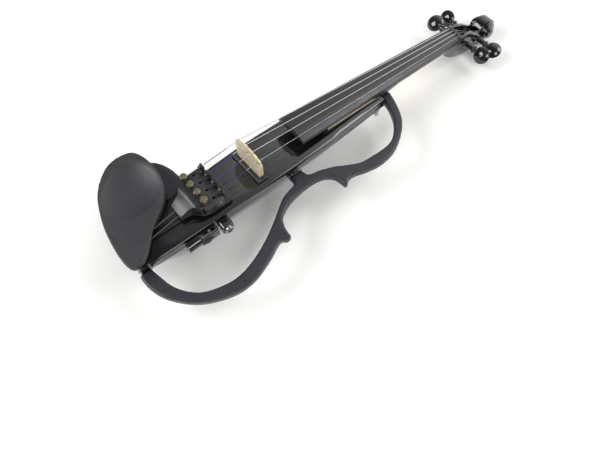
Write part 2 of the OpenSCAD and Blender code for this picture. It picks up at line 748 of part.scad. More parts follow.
// ---- Pegs; k counts the strings from the bass side ----
head_reach = [bass_head_reach, bass_head_reach, treble_head_reach, treble_head_reach];
peg_side = [1, 1, -1, -1];
peg_turn = [-36, -54, 26, 50];
function shaft_start(k) = head_reach[k] - peg_head_radius - 3;
module peg_place(k) {
    translate([peg_x[k], 0, peg_z(peg_x[k])])
        rotate([-90 * peg_side[k], 0, 0]) children();
}
module peg_shaft(gap) {
    end = -pegbox_half - 0.5;
    start = bass_head_reach - peg_head_radius - 2;
    translate([0, 0, end])
        cylinder(h = start - end, r1 = peg_radius - (start - end) / peg_taper / 2 + gap,
                 r2 = peg_radius + gap);
}
module peg(k) color("#121214") {
    start = shaft_start(k);
    peg_place(k) {
        difference() {
            union() {
                intersection() {
                    peg_shaft(0);
                    translate([0, 0, -40]) cylinder(h = 40 + start + 1, r = 10);
                }
                // Collar and neck of the peg.
                translate([0, 0, start]) cylinder(h = 2, r = peg_radius + 1.6);
                translate([0, 0, start + 2]) cylinder(h = 4, r1 = peg_radius, r2 = peg_radius - 0.4);
                // Round, lens-shaped head.
                translate([0, 0, head_reach[k]]) rotate([0, 0, peg_turn[k]]) peg_head();
            }
            // Hole that the string's end goes through.
            translate([0, 0, winding_y[k] * peg_side[k] + 2.2]) rotate([90, 0, 0])
                cylinder(h = 20, r = 0.6, center = true);
        }
    }
}
module peg_head() {
    half = peg_head_thickness / 2;
    bulge = (peg_head_radius * peg_head_radius + half * half) / (2 * half);
    lens = [for (i = [0:8]) let (a = asin(peg_head_radius / bulge) * i / 8)
                [bulge * sin(a), bulge * cos(a) - bulge + half]];
    under = [for (i = [7:-1:0]) [lens[i][0], -lens[i][1]]];
    rotate([90, 0, 0])
        rotate_extrude($fn = 64) polygon(concat(lens, under));
}

// Turns of string on a peg, as stacked rings round the shaft.
winding_y = [5.2, 3.6, -3.6, -5.2];
winding_turns = 3;
function shaft_r(k, y) =
    peg_radius - (bass_head_reach - peg_head_radius - 2 - y * peg_side[k]) / peg_taper / 2;
module winding(k) color("#b9bbc0") {
    r = max(string_radius[k], 0.3);
    for (i = [0:winding_turns - 1])
        translate([peg_x[k], winding_y[k] - peg_side[k] * i * (2 * r + 0.02), peg_z(peg_x[k])])
            rotate([90, 0, 0])
                rotate_extrude()
                    translate([shaft_r(k, winding_y[k]) + r + joint_gap, 0]) circle(r = r, $fn = 20);
}

// ---- Strings ----
fork_x = -tailpiece_gap - 9;
function string_points(k) =
    let (top = peg_z(peg_x[k]) + shaft_r(k, 0) + string_radius[k] + 1.4)
    [[fork_x + 2.5, string_y_tail(k), tuner_string_height],
     [0, string_y_bridge(k), string_z_bridge(k)],
     [nut_x, string_y_nut(k), string_z_nut(k)],
     [nut_x + nut_thickness, string_y_nut(k), string_z_nut(k) - 1.2],
     [peg_x[k] - 1, winding_y[k], top]];
// Groove that a string lies in, between two points of its line.
groove_gap = 0.15;
module string_groove(k, a, b) {
    along = unit(b - a);
    rod(a - along, b + along, string_radius[k] + groove_gap);
}
module string_piece(k) color("#b9bbc0")
    tube(string_points(k), [for (i = [0:4]) string_radius[k]], [0, 1, 0], 12);
// Place on a string between the tailpiece and the bridge.
function behind_bridge(k, x) =
    let (p = string_points(k)) p[0] + (p[1] - p[0]) * (x - p[0][0]) / (p[1][0] - p[0][0]);

module string_sleeve() color("#3fae5a") {
    difference() {
        rod(behind_bridge(3, -4.6), behind_bridge(3, -1.4), 0.7);
        rod(behind_bridge(3, -5.6), behind_bridge(3, -0.4), string_radius[3] + joint_gap);
    }
}

// ---- Bridge with its pickup ----
pickup_bottom = deck_z(0) - 0.6;
pickup_top = deck_z(0) + deck_crown + pickup_height - 2;
bridge_bottom = pickup_top;
module pickup_seat(gap) {
    block([-pickup_length / 2 - 1 - gap, -bridge_half - 2 - gap, pickup_bottom],
          [pickup_length / 2 - 1 + gap, bridge_half + 2 + gap, deck_height + 20]);
}
module pickup_base() color("#17171a") {
    difference() {
        intersection() {
            pickup_seat(0);
            block([-40, -60, 0], [40, 60, pickup_top]);
        }
        // Slot for the pickup strip.
        block([-2, -bridge_half + 2, pickup_top - 1.5], [2, bridge_half - 2, pickup_top + 1]);
    }
}
module piezo_strip() color("#c58a3a") {
    block([-1.7, -bridge_half + 2.3, pickup_top - 1.5 + joint_gap],
          [1.7, bridge_half - 2.3, pickup_top - 0.1]);
}
module bridge() color("#d8c8a0") {
    shoulder = bridge_crown - 11;
    arch = [for (i = [-8:8]) let (y = bridge_half * i / 8.6)
                [y, bridge_crown + 0.3 - arch_drop(y, board_radius)]];
    difference() {
        intersection() {
            rotate([90, 0, 90])
                linear_extrude(height = 20, center = true)
                    polygon(concat([[-bridge_half + 2.6, bridge_bottom + joint_gap],
                                    [-bridge_half + 0.6, bridge_bottom + 7],
                                    [-bridge_half, shoulder]], arch,
                                   [[bridge_half, shoulder],
                                    [bridge_half - 0.6, bridge_bottom + 7],
                                    [bridge_half - 2.6, bridge_bottom + joint_gap]]));
            rotate([90, 0, 0])
                linear_extrude(height = 100, center = true)
                    polygon([[-bridge_foot / 2, bridge_bottom - 1], [bridge_foot / 2, bridge_bottom - 1],
                             [bridge_top / 2, bridge_crown + 1], [-bridge_top / 2, bridge_crown + 1]]);
        }
        for (k = [0:3])
            let (top = string_points(k)[1])
                string_groove(k, top - [bridge_top, 0, 0], top + [bridge_top, 0, 0]);
    }
}

// ---- Tailpiece ----
shelf_front = -tailpiece_gap;
ridge_x = shelf_front - 12;
tailpiece_back = shelf_front - tailpiece_length;
pivot_x = ridge_x - 4;
pivot_z = tailpiece_bottom + 10;
screw_x = pivot_x - tuner_arm;
shelf_thickness = 3;
ridge_top = tailpiece_top - 4;
axle_radius = 1.5;
lever_half = 3;
hub_radius = 2.8;
lever_room_top = pivot_z + hub_radius + 0.6;

module tailpiece_plan() {
    flare = smooth_path([[tailpiece_back, tailpiece_tail_half],
                         [tailpiece_back + 12, tailpiece_tail_half + 2.5],
                         [screw_x - 6, tailpiece_half - 4], [screw_x + 6, tailpiece_half - 0.4],
                         [ridge_x, tailpiece_half]], 6);
    polygon(concat([for (p = flare) [p[0], -p[1]]],
                   [[shelf_front - 3, -tailpiece_half], [shelf_front, -tailpiece_half + 3],
                    [shelf_front, tailpiece_half - 3], [shelf_front - 3, tailpiece_half]],
                   [for (i = [len(flare) - 1:-1:0]) [flare[i][0], flare[i][1]]]));
}
module tailpiece() color("#2a2a2e") {
    crown_radius = 60;
    profile = smooth_path([[tailpiece_back, tailpiece_bottom + 7], [tailpiece_back + 8, tailpiece_top - 8],
                           [screw_x - 8, tailpiece_top - 1], [screw_x, tailpiece_top],
                           [screw_x + 8, tailpiece_top - 1.6], [ridge_x, ridge_top]], 5);
    difference() {
        intersection() {
            translate([0, 0, tailpiece_bottom]) linear_extrude(height = 40) tailpiece_plan();
            rotate([90, 0, 0])
                linear_extrude(height = 80, center = true)
                    polygon(concat([[tailpiece_back, tailpiece_bottom]], profile,
                                   [[ridge_x, tailpiece_bottom + shelf_thickness],
                                    [shelf_front, tailpiece_bottom + shelf_thickness],
                                    [shelf_front, tailpiece_bottom]]));
            // Crown across the width.
            translate([-150, 0, tailpiece_top - crown_radius]) rotate([0, 90, 0])
                cylinder(h = 140, r = crown_radius, $fn = 120);
        }
        // Room for the levers, open at the front.
        block([screw_x - 5, -tailpiece_half + 2.5, tailpiece_bottom + shelf_thickness],
              [ridge_x + 1, tailpiece_half - 2.5, lever_room_top]);
        // Key slots between the screws and the front edge.
        for (k = [0:3])
            translate([ridge_x - 9, string_y_tail(k), ridge_top - 8]) {
                cylinder(h = 14, r = 1.5);
                block([-0.1, -0.6, 0], [4.5, 0.6, 14]);
            }
        for (k = [0:3])
            translate([screw_x, string_y_tail(k), tailpiece_bottom + shelf_thickness])
                cylinder(h = 30, r = bushing_radius);
        translate([pivot_x, -tailpiece_half - 1, pivot_z]) along_y(2 * tailpiece_half + 2, axle_radius);
        for (s = [-1, 1]) {
            rod([tailpiece_back - 5, s * gut_gap, gut_line(tailpiece_back - 5)],
                [gut_hole_x, s * gut_gap, gut_z], gut_radius + 0.15);
            translate([gut_hole_x, s * gut_gap, gut_z - 6]) cylinder(h = 8.2, r = 2.2);
        }
    }
    // Fret line along the front edge.
    translate([ridge_x - 1.2, -tailpiece_half + 3.4, ridge_top - 0.9])
        block([0, 0, 0], [1.2, 2 * tailpiece_half - 6.8, 1]);
}

bushing_radius = 2.6;
bushing_flange = 3.4;
bushing_top = tailpiece_top + 0.8;
bushing_bottom = lever_room_top + 0.2;
tuner_screw_radius = 1.5;
module tuner_bushings() color("#8a8570") {
    for (k = [0:3])
        translate([screw_x, string_y_tail(k), 0])
            difference() {
                union() {
                    translate([0, 0, bushing_bottom])
                        cylinder(h = bushing_top - bushing_bottom, r = bushing_radius - 0.02);
                    translate([0, 0, tailpiece_top + joint_gap]) cylinder(h = 0.8, r = bushing_flange);
                }
                cylinder(h = 120, r = tuner_screw_radius + tuner_clearance);
            }
}
module tuner_axle() color("#9a9a9e") {
    translate([pivot_x, -tailpiece_half + 0.3, pivot_z])
        along_y(2 * tailpiece_half - 0.6, axle_radius - 0.01);
}

washer_bottom = bushing_top + 1.9;
washer_height = 0.8;
head_bottom = washer_bottom + washer_height + 0.1;
head_height = 4.4;
lever_top = pivot_z + 1.2;
module tuner_screw(k) color("#8a8570") {
    translate([screw_x, string_y_tail(k), 0]) {
        translate([0, 0, lever_top + 0.3])
            cylinder(h = head_bottom - lever_top, r = tuner_screw_radius);
        difference() {
            translate([0, 0, head_bottom]) {
                cylinder(h = head_height - 0.6, r = tuner_head_radius);
                translate([0, 0, head_height - 0.6])
                    cylinder(h = 0.6, r1 = tuner_head_radius, r2 = tuner_head_radius - 0.6);
            }
            // Knurling, as grooves round the rim.
            for (i = [0:17])
                rotate([0, 0, i * 20]) translate([tuner_head_radius + 0.12, 0, head_bottom - 1])
                    cylinder(h = 8, r = 0.35, $fn = 16);
        }
    }
}
module tuner_washer(k) color("#9a9a9e") {
    translate([screw_x, string_y_tail(k), washer_bottom])
        difference() {
            cylinder(h = washer_height, r = 2.8);
            translate([0, 0, -1]) cylinder(h = 4, r = tuner_screw_radius + tuner_clearance);
        }
}

fork_half = 2.8;
module tuner_lever(k) color("#2e2e30") {
    y = string_y_tail(k);
    difference() {
        union() {
            // Arm under the screw, hub and upright fork.
            block([screw_x - 3, y - 2.5, pivot_z - 1.2], [pivot_x, y + 2.5, lever_top]);
            translate([pivot_x, y - lever_half, pivot_z]) along_y(2 * lever_half, hub_radius);
            block([pivot_x, y - 2.5, pivot_z - 2.6], [fork_x + 1, y + 2.5, pivot_z]);
            block([fork_x - 1.2, y - fork_half, pivot_z - 2.6],
                  [fork_x + 1.2, y + fork_half, tuner_string_height + 1.6]);
            // Hook that keeps the string's ball.
            block([fork_x - 4.2, y - fork_half, tuner_string_height - 3.6],
                  [fork_x, y + fork_half, tuner_string_height - 2.2]);
        }
        translate([pivot_x, y - 10, pivot_z]) along_y(20, axle_radius + tuner_clearance);
        block([fork_x - 5, y - 0.7, tuner_string_height - 0.9],
              [fork_x + 5, y + 0.7, tuner_string_height + 5]);
    }
    // The string's ball end, held behind the fork, with the string's end in the fork's slot.
    color("#d8c890") difference() {
        translate([fork_x - 2.9, y - 1.6, tuner_string_height - 0.2]) along_y(3.2, 1.9);
        translate([fork_x - 2.9, y - 3, tuner_string_height - 0.2]) along_y(6, 0.8);
    }
    translate([fork_x - 1.6, y, tuner_string_height])
        rotate([0, 90, 0]) cylinder(h = 2.8, r = string_radius[k], $fn = 20);
}

// ---- Side frame ----
tail_start_x = tail_end_x - 1;
outer_lower = [[tail_start_x, -10], [tail_start_x - 0.5, -38], [-156, -63], [-134, 16 - lower_bout],
               [-104, 2 - lower_bout], [-78, -lower_bout], [-50, 8 - lower_bout],
               [-28, 3 - lower_corner], [-21, -1 - lower_corner], [-15, -lower_corner]];
outer_waist = [[-15, -lower_corner], [-14.5, 8 - lower_corner], [-11, -waist - 18],
               [-4, -waist - 10], [12, -waist - 3], [33, -waist], [50, -waist - 0.5],
               [62, -waist - 4], [70, -waist - 12], [72, -upper_corner]];
outer_upper = [[72, -upper_corner], [76, -upper_corner], [80, 3.5 - upper_corner],
               [90, 4 - upper_corner],
               [105, 3.5 - upper_bout], [124, -upper_bout], [146, 2.5 - upper_bout],
               [167, 13 - upper_bout], [184, -54], [195, -32], [front_pad_front + 1, -14],
               [front_pad_front, -2]];
inner_lower = [[tail_start_x + rail_width - 2, -10], [-150, -33], [-144, -57],
               [-128, 12 + rail_width - lower_bout],
               [-104, 2.5 + rail_width - lower_bout], [-84, 1 + rail_width - lower_bout],
               [-62, 6 + rail_width - lower_bout], [-38, -73], [-20, -63], [-2, -51.5],
               [10, -45], [22, -42]];
inner_upper = [[62, -44.5], [78, -51.5], [92, -60], [106, -67],
               [122, rail_width - upper_bout], [138, rail_width - 1 - upper_bout],
               [152, rail_width + 1 - upper_bout], [164, -60.5], [175, -49], [183, -33],
               [front_pad_back, -16], [front_pad_back, -2]];

module frame_plan() {
    difference() {
        polygon(concat(smooth_path(outer_lower, 5), smooth_path(outer_waist, 5),
                       smooth_path(outer_upper, 5)));
        // Window of the lower bout, with its rounded corner by the strut.
        polygon(concat(smooth_path(inner_lower, 4),
                       smooth_path([[22, -42], [strut_back - 3, -40.5], [strut_back, -37],
                                    [strut_back, -32]], 3),
                       [[strut_back, -2]]));
        // Window of the upper bout.
        polygon(concat([[strut_front, -2], [strut_front, -34]],
                       smooth_path([[strut_front, -34], [strut_front + 1.5, -40],
                                    [strut_front + 6, -42.5], [62, -44.5]], 3),
                       smooth_path(inner_upper, 4)));
        // The body's side, and the faces that the frame meets.
        translate([tail_end_x - 20, -tail_block_half - joint_gap]) square([60, 60]);
        translate([0, -strut_pad_y - joint_gap]) square([100, 60]);
        translate([front_length - 20, -heel_half - joint_gap]) square([60, 60]);
    }
}

module side_frame() color("#2c2c30") {
    difference() {
        union() {
            translate([0, 0, frame_bottom]) linear_extrude(height = frame_thickness) frame_plan();
            // Tabs that lap under the body.
            block([tail_end_x + 1, -tail_block_half - 2, frame_bottom],
                  [tail_x - 1, -tail_block_half + 8.5, frame_bottom + tab_thickness]);
            block([strut_back, -strut_pad_y - 2, frame_bottom],
                  [strut_front, -strut_pad_y + tab_reach, frame_bottom + tab_thickness]);
            block([front_pad_back, -heel_half - 2, frame_bottom],
                  [front_pad_front, -heel_half + 8.5, frame_bottom + tab_thickness]);
        }
        for (p = frame_screw_places)
            translate([p[0], p[1], frame_bottom - 1])
                cylinder(h = 20, r = frame_screw_radius + 0.1);
        for (p = frame_screw_places)
            translate([p[0], p[1], frame_bottom - 1])
                cylinder(h = 3, r = frame_head_radius + 0.2);
    }
}
frame_head_radius = 2.9;

module frame_screws() color("#9a9a9e") {
    for (p = frame_screw_places)
        translate([p[0], p[1], frame_bottom]) {
            translate([0, 0, 2]) cylinder(h = tab_thickness + screw_depth - 3,
                                          r = frame_screw_radius - 0.01);
            difference() {
                cylinder(h = 2, r = frame_head_radius);
                translate([0, 0, -0.1]) cylinder(h = 1.2, r = 1.2, $fn = 6);
            }
        }
}

// Nut on a stud under the front of the body, in a spot-faced seat.
module frame_nut() color("#8f9094") {
    translate([nut_place[0], nut_place[1], nut_seat]) {
        translate([0, 0, -nut_height]) cylinder(h = nut_height - joint_gap, r = 3.5, $fn = 6);
        translate([0, 0, -1]) cylinder(h = 4.5, r = 1.5);
    }
}

// ---- Wing on the bass side ----
module bass_wing() color("#2c2c30") {
    edge = concat([[-150, body_half(-150) + joint_gap]],
                  smooth_path([[-146, 52], [-136, 72], [-119, 86], [-98, 90], [-80, 84],
                               [-71, 74], [-66, 60], [-64.5, 46]], 5),
                  [[-64.5, body_half(-64.5) + joint_gap]],
                  [for (i = [1:11]) let (x = mix(-64.5, -150, i / 12))
                       [x, body_half(x) + joint_gap]]);
    difference() {
        translate([0, 0, wing_bottom]) linear_extrude(height = wing_thickness) polygon(edge);
        // Hollow underside.
        translate([0, 0, wing_bottom - 1])
            linear_extrude(height = wing_thickness - wing_skin + 1)
                polygon(smooth_path([[-138, wing_wall], [-136, 50], [-127, 67], [-110, 78],
                                     [-92, 76], [-79, 62], [-75, wing_wall]], 4));
        for (p = wing_screw_places)
            translate([p[0], body_half(p[0]) - 4, wing_bottom + 4.5]) along_y(30, 1.5);
        for (p = pad_places)
            translate([p[0], p[1], wing_bottom - 1]) cylinder(h = 40, r = 1.7);
    }
}
module wing_screws() color("#9a9a9e") {
    for (p = wing_screw_places)
        translate([p[0], 0, wing_bottom + 4.5]) {
            translate([0, body_half(p[0]) - 12, 0]) along_y(wing_wall - body_half(p[0]) + 13, 1.38);
            translate([0, wing_wall + joint_gap, 0]) along_y(2, 2.8);
        }
}

// ---- Chin rest ----
pad_places = [[-126, 50], [-96, 70]];
chin_edge = [[-96, chin_reach - 1], [-115, chin_reach + 1], [-133, chin_reach - 7],
             [-149, chin_reach - 23], [-160, 50], [-167, 28], [-171, 4], [-171, -14], [-167, -23],
             [-156, -23], [-145, -16], [-134, -5], [-122, 5], [-109, 13], [-98, 22],
             [-89, 36], [-84, 54], [-84, 72], [-88, chin_reach - 9]];
module chin_rest() color("#38383c") {
    dish_radius = 120;
    difference() {
        translate([0, 0, chin_bottom]) linear_extrude(height = chin_rim)
            polygon(smooth_loop(chin_edge, 4));
        translate([-121, 56, chin_bottom + chin_rim - chin_dish + dish_radius])
            sphere(r = dish_radius, $fn = 160);
        // The top slopes down along the arm over the tail end.
        translate([-200, 0, 0]) rotate([90, 0, 90])
            linear_extrude(height = 150)
                polygon([[30, chin_bottom + chin_rim], [30, 150], [-40, 150],
                         [-40, chin_bottom + chin_rim - 6.5], [-6, chin_bottom + chin_rim - 4.5]]);
        // Groove that the tail gut runs through.
        upright(gut_gap + 2.2)
            polygon([[saddle_front - 4, 0], [saddle_front - 4, gut_line(saddle_front - 4) + 1.8],
                     [-110, gut_line(-110) + 1.8], [-110, 0]]);
        for (p = pad_places)
            translate([p[0], p[1], chin_bottom - 1]) cylinder(h = 4.5, r = 1.4);
    }
}
module chin_rest_pads() color("#6b4a32") {
    for (p = pad_places)
        translate([p[0], p[1], wing_top + joint_gap])
            difference() {
                cylinder(h = chin_bottom - wing_top - 2 * joint_gap, r = 7);
                translate([0, 0, -1]) cylinder(h = 30, r = 1.7);
            }
    // Cork under the arm, on the tail block.
    block([tail_end_x + 4, 11, tail_block_top + joint_gap],
          [tail_x - 1, 20, chin_bottom - joint_gap]);
}
module chin_rest_screws() color("#9a9a9e") {
    for (p = pad_places)
        translate([p[0], p[1], wing_top - wing_skin - 2.15]) {
            cylinder(h = chin_bottom - wing_top + wing_skin + 5.1, r = 1.38);
            difference() {
                cylinder(h = 2.1, r = 3);
                translate([0, 0, -0.1]) cylinder(h = 1.3, r = 1.3, $fn = 6);
            }
        }
}

// ---- Controls ----
plate_thickness = 0.8;
wheel_x = panel_mid + 4;
wheel_y = -panel_reach + 5.2;
wheel_z = panel_top - 6.2;
switch_x = panel_mid + 11;
switch_y = -panel_reach + 5;
switch_travel = 3;
panel_back = -body_half(panel_high) - 0.2;
module control_housing() color("#161618") {
    back = panel_back;
    difference() {
        union() {
            intersection() {
                block([panel_low, -panel_reach, panel_bottom], [panel_high, back - 0.1, panel_top]);
                // Rounded outer edge.
                translate([0, -panel_reach + 6, panel_bottom + panel_height / 2])
                    union() {
                        rotate([0, 90, 0]) translate([0, 0, -300]) cylinder(h = 600, r = 6);
                        block([-300, 0, -20], [300, 60, 20]);
                        block([panel_mid - 3, -6, -6], [panel_high + 1, 0, 6]);
                    }
            }
            // Body of the housing inside the shell.
            block([panel_low + 3, back - 2, panel_bottom + 1.5], [panel_high - 3, -19, panel_top - 1.5]);
        }
        // Well for the volume wheel, open to the outside.
        translate([wheel_x, wheel_y, wheel_z - wheel_thickness / 2 - 0.4])
            cylinder(h = wheel_thickness + 0.8, r = wheel_radius + 0.5);
        translate([wheel_x, wheel_y, wheel_z]) cylinder(h = 14, r = 1.05, center = true);
        // Recess for the plate and slot for the switch.
        block([panel_mid - 1, -panel_reach + 1.6, panel_top - plate_thickness],
              [panel_high - 1.4, back - 2.2, panel_top + 1]);
        block([switch_x - 4.2, switch_y - 1.6, panel_top - 3.4],
              [switch_x + 4.2, switch_y + 1.6, panel_top + 1]);
        // Hollow behind the panel for the circuit.
        block([panel_low + 5, back + 1.5, panel_bottom + 3], [panel_high - 5, -10, panel_top - 3]);
    }
    // Fixed axle of the volume wheel.
    translate([wheel_x, wheel_y, wheel_z]) cylinder(h = 14 - 5, r = 1.05, center = true);
}
module control_plate() color("#b4b6ba") {
    difference() {
        block([panel_mid - 1 + 0.1, -panel_reach + 1.7, panel_top - plate_thickness + joint_gap],
              [panel_high - 1.5, panel_back - 2.3, panel_top]);
        block([switch_x - 3.6, switch_y - 1.2, panel_top - 3], [switch_x + 3.6, switch_y + 1.2, panel_top + 1]);
    }
}
module volume_wheel() color("#1c1c1f") {
    translate([wheel_x, wheel_y, wheel_z - wheel_thickness / 2])
        difference() {
            cylinder(h = wheel_thickness, r = wheel_radius, $fn = 72);
            translate([0, 0, -1]) cylinder(h = 10, r = 1.1);
            for (i = [0:23])
                rotate([0, 0, i * 15]) translate([wheel_radius + 0.1, 0, -1])
                    cylinder(h = 10, r = 0.6, $fn = 16);
        }
}
module power_switch() color("#d8d8da") {
    translate([switch_x - switch_travel / 2, switch_y, 0]) {
        block([-1.6, -1.4, panel_top - 3.1], [1.6, 1.4, panel_top - 1.3]);
        block([-1.4, -0.9, panel_top - 1.3], [1.4, 0.9, panel_top + 1.8]);
    }
}

jack_reach = 39.5;
jack_face = -jack_reach;
module jack_block() color("#141416") {
    back = -body_half(-jack_x + jack_half) - 0.3;
    r = 3.5;
    difference() {
        union() {
            translate([-jack_x, jack_face, jack_z]) rotate([-90, 0, 0])
                linear_extrude(height = back - jack_face)
                    union() {
                        square([2 * (jack_half - r), 2 * jack_half], center = true);
                        square([2 * jack_half, 2 * (jack_half - r)], center = true);
                        for (sx = [-1, 1], sz = [-1, 1])
                            translate([sx * (jack_half - r), sz * (jack_half - r)]) circle(r = r);
                    }
            block([-jack_x - jack_half + 1.5, back - 1, jack_z - jack_half + 1.5],
                  [-jack_x + jack_half - 1.5, -19, jack_z + jack_half - 1.5]);
        }
        translate([-jack_x, jack_face - 1, jack_z]) along_y(22, jack_barrel + 0.02);
    }
}
jack_barrel = 4.4;
module jack_nut() color("#d0d2d6") {
    translate([-jack_x, jack_face, jack_z])
        difference() {
            union() {
                translate([0, -2, 0]) along_y(20, jack_barrel);
                translate([0, -2.4, 0]) along_y(2.4 - joint_gap, jack_ring_radius);
                translate([0, -3.4, 0]) along_y(1.2, jack_ring_radius - 1);
            }
            translate([0, -5, 0]) along_y(21, jack_bore);
            // Two slots for a key.
            block([-8, -4, -0.6], [8, -2.6, 0.6]);
        }
}

// ---- Circuit and batteries ----
board_low = [-127, -12, 30];
module circuit_board() color("#2f6b3a") {
    block(board_low, [-52, 12, 31.6]);
    for (p = [[-125, -8, 10, 6, 4], [-112, -2, 9, 9, 3], [-98, 3, 12, 5, 5], [-80, -9, 8, 8, 6],
              [-66, 2, 6, 6, 8]])
        block([p[0], p[1], 31.6], [p[0] + p[2], p[1] + p[3], 31.6 + p[4]]);
    // Feet of the board on the hull.
    for (x = [-124, -60])
        block([x, -4, keel_z(x) + wall + 0.4], [x + 6, 4, 30]);
}

cell_mid = (door_back + door_front) / 2;
cell_z = 27;
cell_y = cell_radius + 0.25;
module battery_cells() color("#4a6fa8") {
    for (s = [-1, 1])
        translate([cell_mid - cell_length / 2, s * cell_y, cell_z]) rotate([0, 90, 0]) {
            cylinder(h = cell_length - 1.2, r = cell_radius);
            translate([0, 0, cell_length - 1.3]) cylinder(h = 1.3, r = 2.6);
        }
}
module battery_contacts() color("#c8cacd") {
    // Cradle floor with a plate at each end and a post to the hull.
    for (s = [-1, 1])
        block([cell_mid + s * (cell_length / 2 + 1) - 0.4, -11, cell_z - 9.5],
              [cell_mid + s * (cell_length / 2 + 1) + 0.4, 11, cell_z + 5]);
    block([cell_mid - cell_length / 2 - 1.4, -6, cell_z - 10.3],
          [cell_mid + cell_length / 2 + 1.4, 6, cell_z - 9.3]);
    for (x = [cell_mid - 20, cell_mid + 16])
        block([x, -4, wall + 0.2], [x + 4, 4, cell_z - 10.3]);
}

module battery_door() color("#141416") {
    difference() {
        union() {
            intersection() {
                difference() {
                    hull_solid();
                    hull_hollow();
                }
                block([door_back, 2, door_low], [door_front, 60, door_high]);
            }
            knuckle_set(1, 0);
        }
        knuckle_set(0, door_gap);
        translate([door_back - 5, hinge_y, hinge_z])
            rotate([0, 90, 0]) cylinder(h = 80, r = door_pin_radius + 0.06);
        // Finger notch.
        translate([cell_mid, 60, door_high + 2]) rotate([90, 0, 0]) cylinder(h = 80, r = 5);
    }
}
module door_pin() color("#9a9a9e") {
    translate([knuckles[0][0] + 0.5, hinge_y, hinge_z]) rotate([0, 90, 0])
        cylinder(h = knuckles[4][1] - knuckles[0][0] - 1, r = door_pin_radius - 0.01);
}

top_shell();
lower_shell();
tail_block();
neck();
neck_bolts();
fingerboard();
nut();
saddle();
end_pin();
tail_gut();
bridge();
pickup_base();
piezo_strip();
tailpiece();
tuner_bushings();
tuner_axle();
tuner_screw(0);  // tuner_screw_g
tuner_screw(1);  // tuner_screw_d
tuner_screw(2);  // tuner_screw_a
tuner_screw(3);  // tuner_screw_e
tuner_washer(0);  // tuner_washer_g
tuner_washer(1);  // tuner_washer_d
tuner_washer(2);  // tuner_washer_a
tuner_washer(3);  // tuner_washer_e
tuner_lever(0);  // tuner_lever_g
tuner_lever(1);  // tuner_lever_d
tuner_lever(2);  // tuner_lever_a
tuner_lever(3);  // tuner_lever_e
peg(0);  // peg_g
peg(1);  // peg_d
peg(2);  // peg_a
peg(3);  // peg_e
winding(0);  // winding_g
winding(1);  // winding_d
winding(2);  // winding_a
winding(3);  // winding_e
string_piece(0);  // string_g
string_piece(1);  // string_d
string_piece(2);  // string_a
string_piece(3);  // string_e
string_sleeve();
chin_rest();
chin_rest_pads();
chin_rest_screws();
bass_wing();
wing_screws();
side_frame();
frame_screws();
frame_nut();
control_housing();
control_plate();
volume_wheel();
power_switch();
jack_block();
jack_nut();
circuit_board();
battery_cells();
battery_contacts();
battery_door();
door_pin();
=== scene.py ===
# %% [markdown]
# # A half-framed electric violin
# This notebook dresses a imported CAD model of an electric violin that lies on its back.
# The CAD part fixes every size and every joint. Here it only gets its looks: rounded edges,
# lacquer, satin plastic, wood, wound strings and a soft studio around it.

# %% [markdown]
# ## Load the part
# The imported model comes in as a fixed frame.

# %% Load the frame
import json
import math

import bpy
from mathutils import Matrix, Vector


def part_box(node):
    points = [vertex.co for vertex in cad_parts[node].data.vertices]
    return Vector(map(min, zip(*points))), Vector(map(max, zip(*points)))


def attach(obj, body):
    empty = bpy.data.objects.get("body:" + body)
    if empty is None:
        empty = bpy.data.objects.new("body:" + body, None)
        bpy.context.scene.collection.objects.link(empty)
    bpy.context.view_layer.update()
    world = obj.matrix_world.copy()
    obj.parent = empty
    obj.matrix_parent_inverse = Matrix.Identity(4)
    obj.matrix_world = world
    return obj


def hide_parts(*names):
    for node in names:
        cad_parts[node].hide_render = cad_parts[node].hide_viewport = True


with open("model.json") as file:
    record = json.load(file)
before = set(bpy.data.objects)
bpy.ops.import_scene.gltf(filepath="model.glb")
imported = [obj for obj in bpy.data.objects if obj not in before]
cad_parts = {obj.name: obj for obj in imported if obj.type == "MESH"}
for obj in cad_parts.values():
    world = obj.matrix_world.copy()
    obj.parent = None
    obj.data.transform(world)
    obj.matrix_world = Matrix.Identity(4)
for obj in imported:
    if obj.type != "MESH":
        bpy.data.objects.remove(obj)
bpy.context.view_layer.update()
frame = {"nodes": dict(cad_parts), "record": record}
record = frame["record"]

# %% [markdown]
# ## Camera
# A long-ish lens looks down on the violin from its tail end and treble side, so that the
# strings run away to the upper right. It comes first, because every later choice of finish
# is judged through it.

# %% Camera
camera_data = bpy.data.cameras.new("camera")
camera_data.lens = 39.0
camera_data.sensor_width = 36.0
camera = bpy.data.objects.new("camera", camera_data)
camera.location = (-0.2087, -0.33105, 0.67367)
camera.rotation_euler = (math.radians(27.404), 0.0, math.radians(-40.235))
bpy.context.scene.collection.objects.link(camera)
bpy.context.scene.camera = camera
print("camera stands", round(camera.location.z, 3), "m over the table")

# %% [markdown]
# ## Helpers for meshes
# The CAD nodes arrive as loose triangles with knife-sharp edges. A real violin has no such
# edge, so each visible piece is a welded copy of its node: doubles are merged, flat
# neighbours are dissolved into faces, and a bevel modifier rounds what is left.
# A separate copy is used because the node itself must stay as the CAD made it.

# %% Mesh helpers
def select_only(*objects):
    if bpy.context.object and bpy.context.object.mode != "OBJECT":
        bpy.ops.object.mode_set(mode="OBJECT")
    bpy.ops.object.select_all(action="DESELECT")
    for o in objects:
        o.select_set(True)
    if objects:
        bpy.context.view_layer.objects.active = objects[0]


